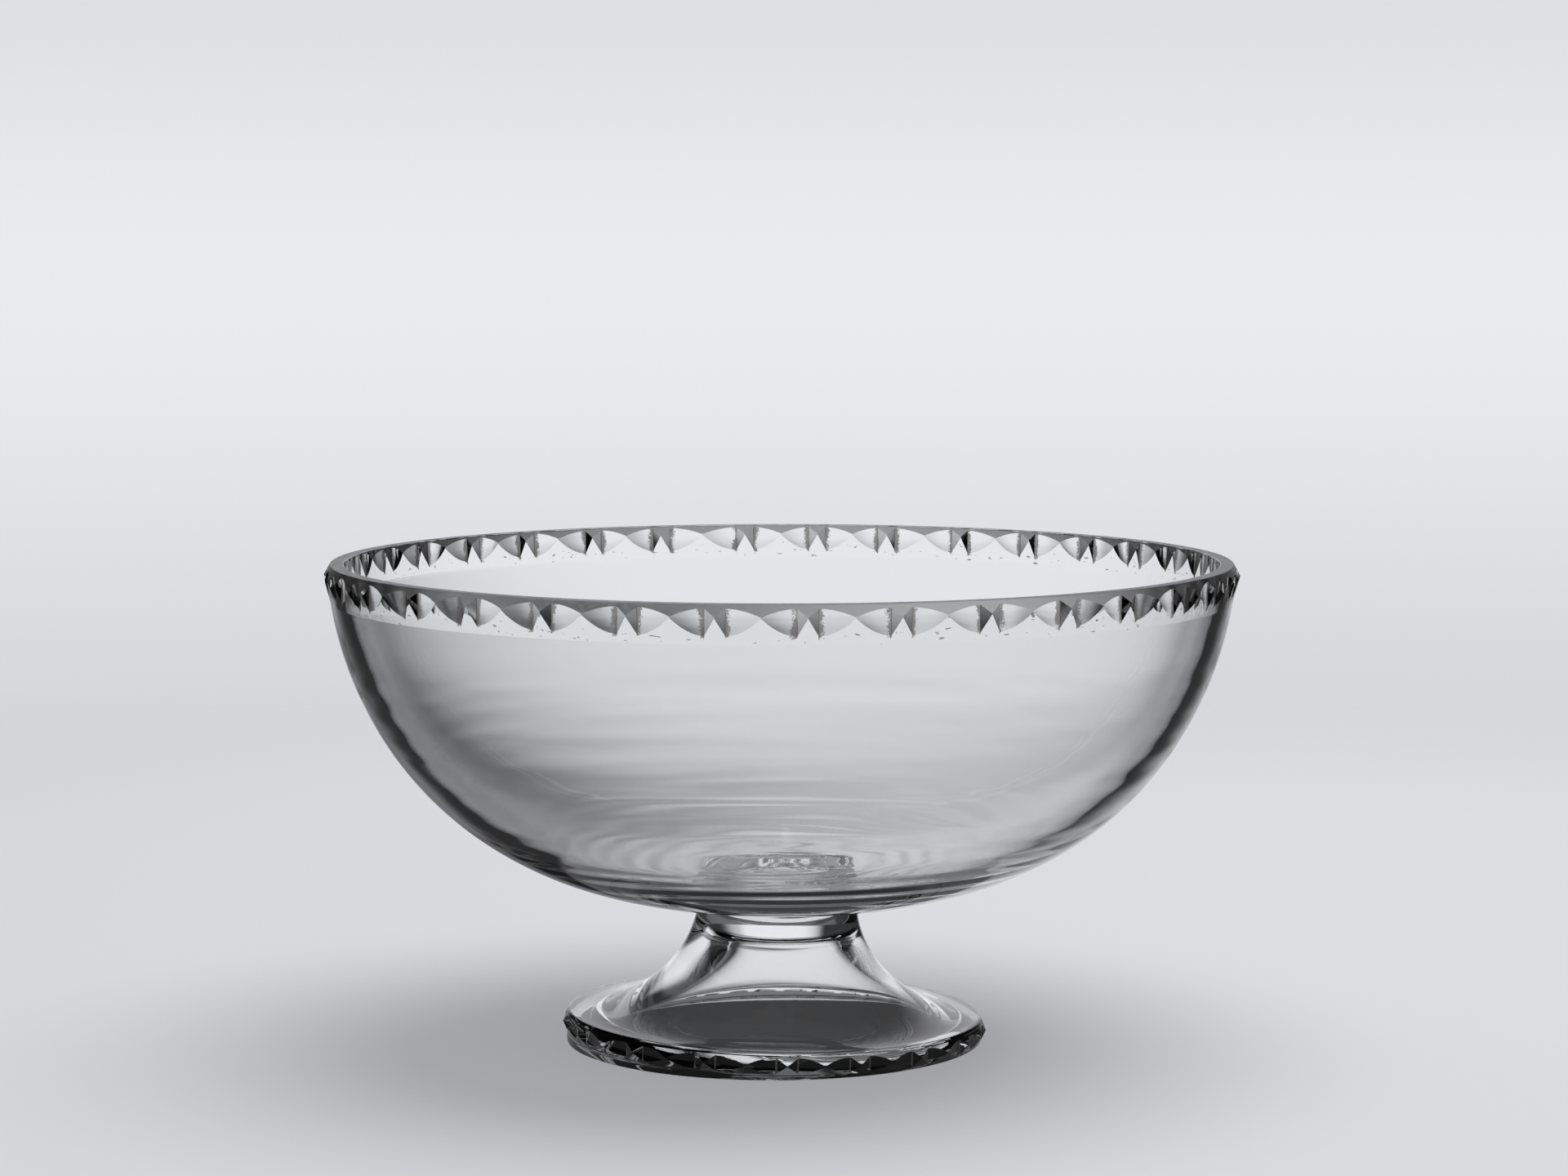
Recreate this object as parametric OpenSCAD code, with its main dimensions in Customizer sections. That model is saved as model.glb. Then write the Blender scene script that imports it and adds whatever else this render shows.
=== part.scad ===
// Footed trifle bowl in clear cut glass: a deep blown bowl with a thick cut band at its
// rim, a short solid neck and a hollow trumpet foot with a cut band at its edge.
// The origin is the centre of the base, on the table, with +Z up and -Y the front.

/* [Heights] */
// Height of the hollow foot, from the table to the neck
foot_h = 30.5; // [26:0.1:40]
// Height of the solid neck between foot and bowl
neck_h = 6.4; // [4:0.1:14]
// Height of the bowl, from the neck to the ground rim
bowl_h = 90.2; // [75:0.1:110]

/* [Bowl] */
// Outer radius of the wall just under the rim band
wall_r = 118.2; // [100:0.1:135]
// Thickness of the wall just under the rim band
wall_t = 4.7; // [3:0.1:7]
// Thickness of the glass at the bottom of the bowl
floor_t = 5; // [3.5:0.1:12]
// How far above the rim the curve of the bowl would be at its fullest
curve_rise = 5.3; // [2:0.1:12]
// How far the curve of the bowl would dip below its flat seat on the neck
seat_dip = 0.6; // [0.2:0.05:1]
// Fullness of the bowl near its bottom, where 2 is an ellipse and more is squarer
bottom_fullness = 2.65; // [2.2:0.05:3]
// The same for the inside of the bowl
inner_fullness = 2.75; // [2.3:0.05:3.1]
// Fullness of the bowl near its rim, where 2 is an ellipse and less slopes sooner
rim_fullness = 1.95; // [1.7:0.05:2.3]

/* [Rim band] */
// Height of the thick band at the rim
rim_h = 9.6; // [7:0.1:12]
// Height of the bevel above the band's ridge
rim_bevel_h = 3; // [2:0.1:4]
// How far the band's ridge stands out from the wall
rim_out = 1.7; // [1:0.05:2.5]
// Pairs of cuts round the rim
rim_pairs = 35; // [24:1:48]
// Depth of the cut lines below the ridge of the rim
rim_cut_t = 1.18; // [0.6:0.02:1.4]
// Distance between the two cut lines of a pair at the rim
rim_pair_w = 5.2; // [3:0.1:7]
// Turn of the first pair of cuts at the rim from the front, in degrees
rim_phase = 3; // [-5:0.5:5]

/* [Neck] */
// Radius of the neck where it meets the bowl
neck_r = 21; // [14:0.1:28]
// How far to the left of the bowl's axis the neck was joined
neck_shift = 1.15; // [0:0.05:2]

/* [Foot] */
// Radius of the foot at its ridge, its widest
foot_r = 56.2; // [46:0.1:70]
// How far the foot leans, higher on the left, before it was ground level, in degrees
foot_lean = 1.4; // [0:0.1:2.5]
// Sweep of the foot's top face, where less is a tighter curve from stem to disc
foot_sweep = 0.59; // [0.5:0.01:0.8]
// Thickness of the glass over the hollow of the foot
crown_t = 3; // [1.5:0.1:6]
// Radius of the ceiling of the hollow in the foot
crown_r = 14.8; // [8:0.1:16]
// Rounding of the ceiling's edge in the hollow of the foot
crown_round = 2.4; // [0.5:0.1:3]
// Sweep of the inside of the foot, where less is a tighter curve
hollow_sweep = 0.84; // [0.6:0.01:0.95]
// Width of the flat ring that the foot stands on, inside the foot band, at its narrowest
rest_w = 0.9; // [0.5:0.1:3]

/* [Foot band] */
// Width of the thick band at the edge of the foot, measured at its top and lip
foot_band_w = 5.4; // [4:0.1:7]
// Height of the plain lip at the bottom of the foot band
lip_h = 1.5; // [0.8:0.05:2.2]
// Height of the bevel between the lip and the ridge
foot_low_h = 2.25; // [1.5:0.05:3]
// Height of the bevel between the ridge and the shoulder
foot_high_h = 2.3; // [1.5:0.05:3]
// Rounding of the shoulder on top of the foot band
shoulder_round = 1; // [0.6:0.05:1.6]
// How far the ridge of the foot stands out from its lip
foot_out = 1.2; // [0.8:0.05:1.6]
// Pairs of cuts round the foot
foot_pairs = 17; // [12:1:24]
// Depth of the cut lines below the ridge of the foot
foot_cut_t = 1; // [0.5:0.02:1.1]
// Distance between the two cut lines of a pair at the foot
foot_pair_w = 5.5; // [3:0.1:7]
// Turn of the first pair of cuts at the foot from the front, in degrees
foot_phase = 3.5; // [-10:0.5:10]

/* [Cuts] */
// How far the points where cuts meet lie below the ridge
point_t = 0.04; // [0.02:0.01:0.1]
// How much deeper a wide facet is ground at its middle, as a share of its cut's depth
hollow_share = 0.14; // [0:0.01:0.2]

/* [Finish] */
// Colour of the glass
glass_colour = [0.84, 0.87, 0.9];

/* [Hidden] */
$fn = 96;

// Steps along a long curve and along a small rounding
curve_steps = 18;
round_steps = 4;
// Steps across a hollow-ground facet
facet_steps = 4;

// How far a cutter runs past what it cuts
overrun = 4;
// How far a cut facet is drawn past its point, as a share of its last step
past_share = 1.4;

// How far each pair sits from even spacing round the rim, cut by eye, in shares of a step
rim_shift_shares = [
    0, 0.05, 0.1, 0.15, 0.1, 0.12, 0.05,
    0, -0.1, -0.2, -0.25, -0.3, -0.38, -0.42,
    -0.38, -0.32, -0.25, -0.28, -0.28, -0.1, -0.1,
    -0.05, -0.1, -0.05, -0.15, -0.2, -0.2, -0.2,
    -0.2, -0.22, -0.12, -0.12, -0.08, -0.03, -0.03
];

// The same round the foot
foot_shift_shares = [
    0, -0.06, -0.15, -0.15, -0.1, -0.05,
    0, 0.05, 0, -0.05, -0.1, -0.1,
    -0.15, -0.2, -0.25, -0.07, -0.04
];

// Levels that pieces share
seat_z = foot_h + neck_h;
rim_z = seat_z + bowl_h;
band_z = rim_z - rim_h;
curve_z = rim_z + curve_rise;

// The curves of the bowl outside and inside: their depth and their fullest radius
outer_deep = bowl_h + curve_rise + seat_dip;
inner_deep = bowl_h + curve_rise - floor_t;
outer_band_angle = curve_angle(curve_z - band_z, outer_deep);
inner_band_angle = curve_angle(curve_z - band_z, inner_deep);
outer_full_r = wall_r / curve_share(outer_band_angle, bottom_fullness);
inner_full_r = (wall_r - wall_t) / curve_share(inner_band_angle, inner_fullness);

// How far the shift and the lean bring the foot to the left where it stands
base_shift = neck_shift + seat_z * sin(foot_lean);

// Radii of the rim and foot bands
rim_r = wall_r + rim_out;
lip_r = foot_r - foot_out;
foot_seam_r = lip_r - foot_band_w;
mouth_r = foot_seam_r - base_shift - rest_w;
disc_r = lip_r - shoulder_round;

// How much the leaning foot is left longer at both ends, for grinding it level
spare_h = lip_h + foot_r * sin(foot_lean);

// Heights in the foot band and the hollow of the foot
foot_ridge_z = lip_h + foot_low_h;
shoulder_z = foot_ridge_z + foot_high_h;
disc_z = shoulder_z + shoulder_round;
crown_z = foot_h - crown_t;
hollow_h = crown_z - crown_round;

// The curve of the bowl: how far round it a depth lies, and its share of the fullest radius
function curve_angle(depth, deep) = asin(pow(depth / deep, rim_fullness / 2));
function curve_share(angle, fullness) = pow(cos(angle), 2 / fullness);

// A point of the bowl's curve, at an angle from its fullest
function bowl_point(angle, full_r, deep, fullness) = [
    full_r * curve_share(angle, fullness),
    curve_z - deep * pow(sin(angle), 2 / rim_fullness)
];

// The bowl's outside and inside between two angles
function outer_curve(from, to, steps) = [
    for (i = [0:steps])
        bowl_point(from + (to - from) * i / steps, outer_full_r, outer_deep, bottom_fullness)
];
function inner_curve(from, to, steps) = [
    for (i = [0:steps])
        bowl_point(from + (to - from) * i / steps, inner_full_r, inner_deep, inner_fullness)
];

// A swept curve: straight up at radius r on top, and level where it has gone out by w
function sweep_point(angle, r, w, low_z, h, sweep) = [
    r + w * pow(sin(angle), 2 / sweep),
    low_z + h * pow(cos(angle), 2 / sweep)
];
function sweep_curve(from, to, r, w, low_z, h, sweep, steps) = [
    for (i = [0:steps])
        sweep_point(from + (to - from) * i / steps, r, w, low_z, h, sweep)
];

// The top face of neck, foot and foot band between two angles
function foot_curve(from, to, steps) = sweep_curve(
    from, to, neck_r, disc_r - neck_r, disc_z, seat_z - disc_z, foot_sweep, steps
);
foot_top_angle = acos(pow((foot_h - disc_z) / (seat_z - disc_z), foot_sweep / 2));
foot_seam_angle = asin(pow((foot_seam_r - neck_r) / (disc_r - neck_r), foot_sweep / 2));

// Points of a quarter round about a centre, from one angle to another
function round_points(centre, r, from, to) = [
    for (i = [0:round_steps])
        let (angle = from + (to - from) * i / round_steps)
            centre + r * [cos(angle), sin(angle)]
];

// A point at a radius and at an angle from the front, to the right
function ring_point(r, angle) = [r * sin(angle), -r * cos(angle)];

// The angle of the middle of a pair of cuts
function pair_angle(i, pairs, phase, shift_shares) =
    phase + (i + shift_shares[((i + pairs) % pairs) % len(shift_shares)]) * 360 / pairs;

// A point of a wide facet, a share of the way from its cut line to its tip, which is ground
// deeper at its middle by the wheel
function facet_point(line, tip, deeper, share) =
    let (flat_point = line + (tip - line) * share)
        flat_point * (1 - deeper * share * (1 - share) / norm(flat_point));

// Where a facet ends: a little past its tip, to cross its neighbour
function facet_end(before, tip) = before + (tip - before) * past_share;

// A wide facet from its cut line to its end
function facet_points(line, tip, deeper) = [
    for (i = [0:facet_steps - 1])
        facet_point(line, tip, deeper, i / facet_steps),
    facet_end(facet_point(line, tip, deeper, (facet_steps - 1) / facet_steps), tip)
];

// The same points in the opposite order
function reversed(points) = [for (i = [len(points) - 1:-1:0]) points[i]];

// What the wheel takes away for one pair: two V grooves that meet in the middle, each with
// a narrow flat facet on the inside of the pair and a wide hollow one on the outside
module pair_cutter(middle, left, right, ridge_r, cut_t, pair_w, low_z, high_z)
{
    line_r = ridge_r - cut_t;
    tip_r = ridge_r - point_t;
    half = asin(pair_w / 2 / line_r);
    left_line = ring_point(line_r, middle - half);
    right_line = ring_point(line_r, middle + half);
    deeper = 4 * hollow_share * cut_t;
    translate([0, 0, low_z])
        linear_extrude(high_z - low_z)
            polygon(concat(
                reversed(facet_points(left_line, ring_point(tip_r, left), deeper)),
                [ring_point(tip_r, middle)],
                facet_points(right_line, ring_point(tip_r, right), deeper),
                [ring_point(ridge_r + overrun, right), ring_point(ridge_r + overrun, left)]
            ));
}

// All the pairs round a band, each reaching halfway to its neighbours
module band_cutters(pairs, phase, shift_shares, ridge_r, cut_t, pair_w, low_z, high_z)
{
    for (i = [0:pairs - 1])
    {
        middle = pair_angle(i, pairs, phase, shift_shares);
        before = pair_angle(i - 1, pairs, phase, shift_shares);
        after = pair_angle(i + 1, pairs, phase, shift_shares);
        first = i == 0 ? before - (before > middle ? 360 : 0) : before;
        last = i == pairs - 1 ? after + (after < middle ? 360 : 0) : after;
        pair_cutter(
            middle, (first + middle) / 2, (middle + last) / 2,
            ridge_r, cut_t, pair_w, low_z, high_z
        );
    }
}

// The blown bowl, from its flat seat on the neck to the underside of the rim band
module bowl()
{
    seat_angle = curve_angle(curve_z - seat_z, outer_deep);
    color(glass_colour)
        rotate_extrude()
            polygon(concat(
                outer_curve(outer_band_angle, seat_angle, curve_steps),
                [[0, seat_z]],
                inner_curve(90, inner_band_angle, curve_steps)
            ));
}

// The thick band at the rim: ground flat on top, bevelled to a ridge and cut all round
module rim_band()
{
    rim_angle = curve_angle(curve_z - rim_z, inner_deep);
    color(glass_colour)
        difference()
        {
            rotate_extrude()
                polygon(concat(
                    inner_curve(inner_band_angle, rim_angle, round_steps),
                    [
                        [wall_r, rim_z],
                        [rim_r, rim_z - rim_bevel_h],
                        [wall_r, band_z]
                    ]
                ));
            band_cutters(
                rim_pairs, rim_phase, rim_shift_shares,
                rim_r, rim_cut_t, rim_pair_w, band_z - overrun, rim_z + overrun
            );
        }
}

// Joins a piece to the bowl a little crooked, and grinds it level at the table and the seat
module joined()
{
    intersection()
    {
        translate([-neck_shift, 0, seat_z])
            rotate([0, foot_lean, 0])
                translate([0, 0, -seat_z])
                    children();
        cylinder(h = seat_z, r = foot_r + base_shift + overrun);
    }
}

// The solid neck between the foot and the bowl
module neck()
{
    color(glass_colour)
        joined()
            rotate_extrude()
                polygon(concat(
                    [[0, seat_z + spare_h]],
                    [[0, foot_h]],
                    foot_curve(foot_top_angle, 0, round_steps * 2),
                    [[neck_r, seat_z + spare_h]]
                ));
}

// The hollow under the foot, as the ball of air left it
module hollow()
{
    crown_middle = [crown_r - crown_round, hollow_h];
    rotate_extrude()
        polygon(concat(
            [[0, -overrun]],
            [[0, crown_z]],
            round_points(crown_middle, crown_round, 90, 0),
            sweep_curve(
                0, 90, crown_r, mouth_r - crown_r, 0, hollow_h, hollow_sweep, curve_steps
            ),
            [[mouth_r, -overrun]]
        ));
}

// The hollow trumpet foot, open underneath
module foot()
{
    color(glass_colour)
        difference()
        {
            joined()
                rotate_extrude()
                    polygon(concat(
                        [[0, -spare_h]],
                        [[foot_seam_r, -spare_h]],
                        foot_curve(foot_seam_angle, foot_top_angle, curve_steps),
                        [[0, foot_h]]
                    ));
            hollow();
        }
}

// The thick band at the edge of the foot: a rounded shoulder, a cut ridge and a plain lip
module foot_band()
{
    shoulder_middle = [disc_r, shoulder_z];
    color(glass_colour)
        joined()
            difference()
            {
                rotate_extrude()
                    polygon(concat(
                        [
                            [foot_seam_r, -spare_h],
                            [lip_r, -spare_h],
                            [lip_r, lip_h],
                            [foot_r, foot_ridge_z]
                        ],
                        round_points(shoulder_middle, shoulder_round, 0, 90),
                        foot_curve(90, foot_seam_angle, round_steps)
                    ));
                band_cutters(
                    foot_pairs, foot_phase, foot_shift_shares,
                    foot_r, foot_cut_t, foot_pair_w, lip_h, disc_z + overrun
                );
            }
}

bowl();
rim_band();
neck();
foot();
foot_band();
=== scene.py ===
"""Looks of the footed trifle bowl: clear blown glass with a cut band at the rim and the foot."""

import math

import bpy
import numpy as np
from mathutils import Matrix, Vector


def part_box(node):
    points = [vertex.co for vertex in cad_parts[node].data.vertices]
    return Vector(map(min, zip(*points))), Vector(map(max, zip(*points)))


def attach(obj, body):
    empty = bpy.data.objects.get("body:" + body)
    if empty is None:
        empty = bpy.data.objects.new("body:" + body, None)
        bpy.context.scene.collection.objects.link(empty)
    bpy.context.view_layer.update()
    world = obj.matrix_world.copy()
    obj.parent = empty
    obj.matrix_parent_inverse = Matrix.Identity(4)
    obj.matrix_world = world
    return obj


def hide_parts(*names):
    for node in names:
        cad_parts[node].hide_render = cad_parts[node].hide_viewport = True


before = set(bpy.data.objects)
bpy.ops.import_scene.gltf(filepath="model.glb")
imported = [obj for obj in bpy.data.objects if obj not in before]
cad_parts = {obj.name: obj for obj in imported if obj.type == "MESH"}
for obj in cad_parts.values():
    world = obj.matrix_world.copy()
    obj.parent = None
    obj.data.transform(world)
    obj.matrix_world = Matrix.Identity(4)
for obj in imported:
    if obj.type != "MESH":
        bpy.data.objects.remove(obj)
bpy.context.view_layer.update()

MM = 0.001
TAU = 2 * math.pi

# The camera, fitted to the rim, the foot and the height of the bowl in the photograph
SENSOR_MM = 36
LENS_MM = 93.75
CAMERA_X = 0.58 * MM
CAMERA_Y = -1069.9 * MM
CAMERA_Z = 222.54 * MM
CAMERA_PITCH = 5.491

# Heights that the frame gives, in millimetres, as are all sizes of the bowl below
SEAT_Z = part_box("neck")[1].z / MM
BAND_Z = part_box("bowl")[1].z / MM
RIM_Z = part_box("rim_band")[1].z / MM

# The bowl's curves, as in its construction
WALL_R = 118.2
WALL_T = 4.7
FLOOR_T = 5
CURVE_RISE = 5.3
SEAT_DIP = 0.6
OUTER_FULLNESS = 2.65
INNER_FULLNESS = 2.75
RIM_FULLNESS = 1.95
CURVE_Z = RIM_Z + CURVE_RISE
OUTER_DEEP = RIM_Z - SEAT_Z + CURVE_RISE + SEAT_DIP
INNER_DEEP = RIM_Z - SEAT_Z + CURVE_RISE - FLOOR_T

# The rim band
RIM_BEVEL_H = 3
RIM_OUT = 1.7
RIM_R = WALL_R + RIM_OUT
RIM_PAIRS = 35
RIM_CUT_T = 1.18
RIM_PAIR_W = 5.2
RIM_PHASE = 3
RIM_SHIFT_SHARES = [
    0, 0.05, 0.1, 0.15, 0.1, 0.12, 0.05,
    0, -0.1, -0.2, -0.25, -0.3, -0.38, -0.42,
    -0.38, -0.32, -0.25, -0.28, -0.28, -0.1, -0.1,
    -0.05, -0.1, -0.05, -0.15, -0.2, -0.2, -0.2,
    -0.2, -0.22, -0.12, -0.12, -0.08, -0.03, -0.03,
]

# The worn edges of the rim's flat top, inside and outside
RIM_EASE = 0.22
RIM_EDGE_W = 0.1
RIM_EDGE_H = 0.06

# The neck and the foot
FOOT_H = 30.5
NECK_R = 21
NECK_SHIFT = 1.15
FOOT_R = 56.2
FOOT_LEAN = math.radians(1.4)
FOOT_SWEEP = 0.59
CROWN_T = 3
CROWN_R = 14.8
CROWN_ROUND = 2.4
HOLLOW_SWEEP = 0.84
REST_W = 0.9
FOOT_BAND_W = 5.4
LIP_H = 1.5
LIP_EASE = 0.1
FOOT_LOW_H = 2.25
FOOT_HIGH_H = 2.3
SHOULDER_ROUND = 1
FOOT_OUT = 1.2
FOOT_PAIRS = 17
FOOT_CUT_T = 1
FOOT_PAIR_W = 5.5
FOOT_PHASE = 3.5
FOOT_SHIFT_SHARES = [
    0, -0.06, -0.15, -0.15, -0.1, -0.05,
    0, 0.05, 0, -0.05, -0.1, -0.1,
    -0.15, -0.2, -0.25, -0.07, -0.04,
]
LIP_R = FOOT_R - FOOT_OUT
SEAM_R = LIP_R - FOOT_BAND_W
MOUTH_R = SEAM_R - NECK_SHIFT - SEAT_Z * math.sin(FOOT_LEAN) - REST_W
DISC_R = LIP_R - SHOULDER_ROUND
FOOT_RIDGE_Z = LIP_H + FOOT_LOW_H
SHOULDER_Z = FOOT_RIDGE_Z + FOOT_HIGH_H
DISC_Z = SHOULDER_Z + SHOULDER_ROUND
CROWN_Z = FOOT_H - CROWN_T
HOLLOW_H = CROWN_Z - CROWN_ROUND

# The points where cuts meet lie this far below the ridge
POINT_T = 0.04

# How much deeper a wide facet is ground at its middle, as a share of the depth of its cut
HOLLOW_SHARE = 0.14

# How much deeper the wheel took the middle height of a facet as high as its band
FACET_DIP = 0.33
FOOT_FACET_DIP = 0.25

# Where the middle point of a worn edge lies, as a share of its ease
EASE_SHARE = 0.3

# Shares of the way down a facet, and across the bevel above it or below it, that have rows
FACET_ROWS = (0.125, 0.25, 0.5, 0.75, 0.875, 1.0)
BEVEL_ROWS = (0.5, 1.0)

# How far the rows of the meshes lie apart along their curves
OUTSIDE_STEP = 2
INSIDE_STEP = 1.6
BOTTOM_STEP = 0.8
BAND_STEP = 2.2
NECK_STEP = 0.6
FOOT_STEP = 0.9

# The share of the inside curve's turn, from the middle of the bottom, that has the finer rows
BOTTOM_SHARE = 0.38

# Columns of the bowl's mesh
BOWL_COLUMNS = 460

# Steps of the rim's flat top, and of the foot's underside, ceiling, crown and shoulder
RIM_TOP_STEPS = 3
UNDER_STEPS = 3
CEILING_STEPS = 4
CROWN_STEPS = 8
SHOULDER_STEPS = 6

# Edges between faces stay sharp from these angles on, on round pieces and on cut ones
ROUND_SHARP = 24
CUT_SHARP = 12

# Points nearer to each other than this are one
SAME_PLACE = 1e-6

# Usual sizes of the unevenness of the blown glass, whose highest waves are three times as high
BROAD_SIZE = 0.05
RIPPLE_OUTSIDE = 0.004
RIPPLE_INSIDE = 0.008
STRIAE_OUTSIDE = 0.004
STRIAE_INSIDE = 0.006
RING_SIZE = 0.09

# The unevenness fades out over these lengths towards the rim band, the seat and the axis
BAND_FADE = 12
SEAT_FADE = 10
AXIS_FADE = 14

# Below a height the ripple of the inside grows, over a length, by this many times its size
LOW_Z = 60
LOW_FADE = 16
LOW_GAIN = 4

# The rings in the bottom end at a radius, and fade out inwards and outwards
RINGS_R = 27
RINGS_FADE_IN = 3
RINGS_FADE_OUT = 9

# The glass, and how much a rough place hides of it at most
IOR = 1.5
GLASS_TINT = (0.995, 1, 1)
# The grey of the ground glass is painted shade, which darkens the rim's flat top and upper bevel
GROUND_SHADE_GREY = 0.66
GROUND_ROUGH = (0.3, 0.4)
DIRT = (0.16, 0.14, 0.12, 1)
ROUGH_MOST = 0.8

# The chips beside the cut lines, where fine grain and broad patches together pass a level
GRAIN_WEIGHT = 1.3
CHIP_LEVEL = 1.15
CHIP_GAIN = 1.6
CHIP_STEP = (0.4, 0.62)
LINE_STEP = (0.02, 0.25)

# The flat flecks along the seam under the rim's cuts, and the seam's mark on its two rows
FLECK_STRETCH = (1, 1, 2.6)
FLECK_STEP = (0.655, 0.7)
SEAM_STEP = (0.15, 0.6)
SEAM_MARKS = (0.7, 1)

# The cool tint of the backdrop and the floor
TINT = (0.985, 0.99, 1.02)

# The floor in metres: its rings, and the radii between which it fades into the backdrop
FLOOR_RINGS = (0.15, 0.3, 0.5, 0.8, 1.2, 2, 4)
FLOOR_COLUMNS = 96
FLOOR_DROP = 0.1 * MM
FLOOR_FADE = (0.45, 0.9)
FLOOR_GREY = 0.6
FLOOR_GLOW = 0.26

# The table that only the glass shows: dark under the foot, as its own tone and as painted shade, pale
# round it, and then no more
TABLE_PALE_FROM = (0.0655, 0.0665)
TABLE_END = (0.079, 0.084)
TABLE_DARK_AND_SHADE = 0.055
TABLE_PALE = 0.74

# In reflections it has two other tones instead, painted light that lightens the cut facets which mirror
# it, with the step between them at these radii
TURNED_STEP = (0.042, 0.05)
TURNED_PAINTED_TONES = (0.15, 0.22)

# The window straight behind, in degrees. Its edges are pairs of angles from left to right
WINDOW_LEFT = (-9, 8.5)
WINDOW_RIGHT = (7, 14.5)
WINDOW_RIGHT_END = (14, 27)
WINDOW_RIGHT_DIM = 0.55

# Its left edge leans to the right lower down, in pairs of a height and an angle
WINDOW_LEAN = ((-14.5, 0), (-8, 6), (3, 17))

# Its right edge moves in by an angle above these heights
WINDOW_DRAWN = (-8, 2)
WINDOW_DRAWN_BY = 5

# The dimmer part on its left, whose brightness grows by steps between pairs of heights
DIM_LEFT = (-27, -18)
DIM_STEPS = (((-24, -20), 0.29), ((-13, -8), 0.09))

# The bright sides and ground of the studio, for light that passes straight on, in degrees
SIDES_FROM = (36, 46)
GROUND_BELOW = (-34, -27)

# The rest of the studio, and its brightness by height, in pairs of radians and a value
ROOM_DARK = 0.04
STUDIO_HEIGHTS = (
    (-1, 0.66), (-0.5, 0.7), (-0.4, 0.76), (-0.27, 0.79), (-0.21, 0.69),
    (-0.17, 0.77), (-0.13, 0.89), (0.25, 0.9), (0.65, 0.12),
)

# The plain backdrop that the camera sees, in the same way
BACKDROP_HEIGHTS = ((-0.14, 0.68), (-0.02, 0.84), (0.06, 0.74))


def curve_angle(depth, deep):
    """How far round the bowl's curve a depth lies, in radians."""
    return math.asin((depth / deep) ** (RIM_FULLNESS / 2))


def curve_share(angle, fullness):
    """The share of its fullest radius that the bowl's curve has there."""
    return max(math.cos(angle), 0) ** (2 / fullness)


OUTER_BAND_ANGLE = curve_angle(CURVE_Z - BAND_Z, OUTER_DEEP)
INNER_BAND_ANGLE = curve_angle(CURVE_Z - BAND_Z, INNER_DEEP)
OUTER_FULL_R = WALL_R / curve_share(OUTER_BAND_ANGLE, OUTER_FULLNESS)
INNER_FULL_R = (WALL_R - WALL_T) / curve_share(INNER_BAND_ANGLE, INNER_FULLNESS)


def curve_point(angle, full_r, fullness, deep):
    """A point (radius, height) of one of the bowl's two curves."""
    return full_r * curve_share(angle, fullness), CURVE_Z - deep * math.sin(angle) ** (2 / RIM_FULLNESS)


def outer_point(angle):
    """A point of the bowl's outside."""
    return curve_point(angle, OUTER_FULL_R, OUTER_FULLNESS, OUTER_DEEP)


def inner_point(angle):
    """A point of the bowl's inside."""
    return curve_point(angle, INNER_FULL_R, INNER_FULLNESS, INNER_DEEP)


def sweep_point(angle, r, w, low_z, h, sweep):
    """A point of a swept curve, upright at radius r on top and level where it has gone out by w."""
    across = math.sin(angle) ** (2 / sweep)
    up = max(math.cos(angle), 0) ** (2 / sweep)
    return r + w * across, low_z + h * up


def foot_top_point(angle):
    """A point of the top face of neck, foot and foot band."""
    return sweep_point(angle, NECK_R, DISC_R - NECK_R, DISC_Z, SEAT_Z - DISC_Z, FOOT_SWEEP)


def hollow_point(angle):
    """A point of the inside of the foot."""
    return sweep_point(angle, CROWN_R, MOUTH_R - CROWN_R, 0, HOLLOW_H, HOLLOW_SWEEP)


FOOT_TOP_ANGLE = math.acos(((FOOT_H - DISC_Z) / (SEAT_Z - DISC_Z)) ** (FOOT_SWEEP / 2))
FOOT_SEAM_ANGLE = math.asin(((SEAM_R - NECK_R) / (DISC_R - NECK_R)) ** (FOOT_SWEEP / 2))


def evenly(point, start, end, step, fine=600):
    """Points of a curve about one step apart along it, both ends among them."""
    dense = np.array([point(start + (end - start) * i / fine) for i in range(fine + 1)])
    gone = lengths_of(dense)
    count = max(1, round(gone[-1] / step))
    at = np.linspace(0, gone[-1], count + 1)
    return np.stack([np.interp(at, gone, dense[:, i]) for i in (0, 1)], axis=1)


def straight(a, b, count):
    """Points from a to b along a straight line, without b."""
    return [tuple(p + (q - p) * i / count for p, q in zip(a, b)) for i in range(count)]


def arc(centre, r, steps):
    """Points of a quarter circle, from its outermost point up to its top."""
    turn = np.radians(np.linspace(0, 90, steps + 1))
    return [(centre[0] + r * math.cos(a), centre[1] + r * math.sin(a)) for a in turn]


def rise(value, over):
    """A share that goes from 0 to 1 as a value goes from 0 to another."""
    return np.clip(value / over, 0, 1)


def bow(share):
    """A curve that is 0 at both ends of a span and 1 in its middle."""
    return 4 * share * (1 - share)


def rows_of(profile, columns):
    """A profile as the same radius and height at every angle."""
    r, z = np.array(profile, float).T[:, :, None]
    return np.repeat(r, columns, 1), np.repeat(z, columns, 1)


def rows_between(start, end, shares, worn=0):
    """Rows at shares of the way from one ring (radii, heights) to another, worn hollow between."""
    r = [start[0] + (end[0] - start[0]) * share - worn * bow(share) for share in shares]
    z = [start[1] + (end[1] - start[1]) * share for share in shares]
    return np.array(r), np.array(z)


def stacked(*parts):
    """Sets of rows, one below another."""
    return [np.vstack(rows) for rows in zip(*parts)]


def lengths_of(profile):
    """How far along a profile each of its points lies."""
    return np.concatenate([[0], np.cumsum(np.hypot(*np.diff(profile, axis=0).T))])


def normals_of(profile):
    """The direction square to a profile at each point, to the right of its way."""
    way = np.gradient(profile, axis=0)
    way /= np.hypot(*way.T)[:, None]
    return np.stack([way[:, 1], -way[:, 0]], axis=1)


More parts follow.
